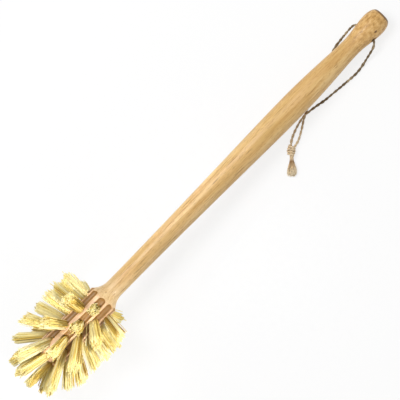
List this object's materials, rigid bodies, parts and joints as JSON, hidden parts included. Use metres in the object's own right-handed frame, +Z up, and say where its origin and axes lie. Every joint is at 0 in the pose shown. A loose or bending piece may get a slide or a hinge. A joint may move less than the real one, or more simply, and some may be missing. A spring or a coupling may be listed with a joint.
{
  "type": "bottle brush",
  "caption": "Long turned wooden cleaning brush with a round head of fanned plant-fibre tufts set in a fluted core, and a knotted jute loop for hanging.",
  "frame": {"origin": "on the table under the middle of the brush as it lies on its knob and its lower tufts", "axes": "+X along the table from the head towards the butt of the handle, +Z up"},
  "size_m": [0.3844, 0.0703, 0.069],
  "materials": {
    "oiled_wood": "sanded and oiled",
    "plant_fibre": "stiff raw fibre",
    "staple_wire": "drawn wire",
    "jute_twine": "hairy two-ply twine"
  },
  "bodies": {
    "brush": {"handle": "oiled_wood", "bristles_top": "plant_fibre", "bristles_right": "plant_fibre", "bristles_bottom": "plant_fibre", "bristles_left": "plant_fibre", "staple_top_1": "staple_wire", "staple_top_2": "staple_wire", "staple_top_3": "staple_wire", "staple_top_4": "staple_wire", "staple_top_5": "staple_wire", "staple_top_6": "staple_wire", "staple_top_7": "staple_wire", "staple_top_8": "staple_wire", "staple_top_9": "staple_wire", "staple_top_10": "staple_wire", "staple_top_11": "staple_wire", "staple_top_12": "staple_wire", "staple_right_1": "staple_wire", "staple_right_2": "staple_wire", "staple_right_3": "staple_wire", "staple_right_4": "staple_wire", "staple_right_5": "staple_wire", "staple_right_6": "staple_wire", "staple_right_7": "staple_wire", "staple_right_8": "staple_wire", "staple_bottom_1": "staple_wire", "staple_bottom_2": "staple_wire", "staple_bottom_3": "staple_wire", "staple_bottom_4": "staple_wire", "staple_bottom_5": "staple_wire", "staple_bottom_6": "staple_wire", "staple_bottom_7": "staple_wire", "staple_bottom_8": "staple_wire", "staple_bottom_9": "staple_wire", "staple_bottom_10": "staple_wire", "staple_bottom_11": "staple_wire", "staple_bottom_12": "staple_wire", "staple_left_1": "staple_wire", "staple_left_2": "staple_wire", "staple_left_3": "staple_wire", "staple_left_4": "staple_wire", "staple_left_5": "staple_wire", "staple_left_6": "staple_wire", "staple_left_7": "staple_wire", "staple_left_8": "staple_wire"},
    "hanging_loop": {"cord_right": "jute_twine", "cord_left": "jute_twine", "cord_knot": "jute_twine", "cord_tail_outer": "jute_twine", "cord_tail_inner": "jute_twine"}
  },
  "joints": [
    {"name": "loop_swing", "type": "hinge", "parent": "brush", "child": "hanging_loop", "pos_m": [0.17369, 0, 0.01034], "axis": [0, -1, 0], "range_deg": [0, 320]}
  ]
}
